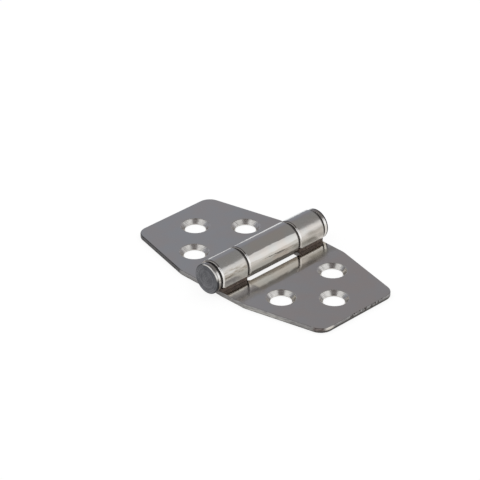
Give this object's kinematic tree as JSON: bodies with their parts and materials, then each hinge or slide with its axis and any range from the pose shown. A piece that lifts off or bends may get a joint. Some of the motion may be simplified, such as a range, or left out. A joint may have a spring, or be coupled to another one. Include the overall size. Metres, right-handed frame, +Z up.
{
  "type": "friction hinge",
  "caption": "Friction hinge with tapered polished leaves, countersunk screw holes and rolled knuckles on a pin gripped by a stack of spring clips, with turned end caps.",
  "frame": {"origin": "on the plane of the leaves' undersides, straight below the middle of the pin", "axes": "+X across the open leaves towards the leaf with the outer knuckles, +Y along the pin, +Z up, away from the mounting surface"},
  "size_m": [0.076, 0.045, 0.01],
  "materials": {
    "polished_sheet": "mirror-polished stainless sheet",
    "turned_steel": "turned stainless steel with fine concentric tool marks",
    "pin_steel": "ground stainless bar",
    "spring_steel": "tempered spring strip, lightly oiled",
    "dark_washer": "black low-friction polymer",
    "liner_moulding": "dark brown moulded polymer"
  },
  "bodies": {
    "fixed_leaf": {"leaf_with_outer_knuckles": "polished_sheet", "hinge_pin": "pin_steel", "end_cap_near": "turned_steel", "end_cap_far": "turned_steel", "end_washer_near": "dark_washer", "end_washer_far": "dark_washer", "thrust_washer_near": "dark_washer", "thrust_washer_far": "dark_washer", "knuckle_liner_near": "liner_moulding", "knuckle_liner_far": "liner_moulding"},
    "swinging_leaf": {"leaf_with_middle_knuckle": "polished_sheet", "friction_clip_01": "spring_steel", "friction_clip_02": "spring_steel", "friction_clip_03": "spring_steel", "friction_clip_04": "spring_steel", "friction_clip_05": "spring_steel", "friction_clip_06": "spring_steel", "friction_clip_07": "spring_steel", "friction_clip_08": "spring_steel", "friction_clip_09": "spring_steel", "friction_clip_10": "spring_steel"}
  },
  "joints": [
    {"name": "leaf_fold", "type": "hinge", "parent": "fixed_leaf", "child": "swinging_leaf", "pos_m": [0, 0, 0.005], "axis": [0, 1, 0], "range_deg": [-85, 188]}
  ]
}
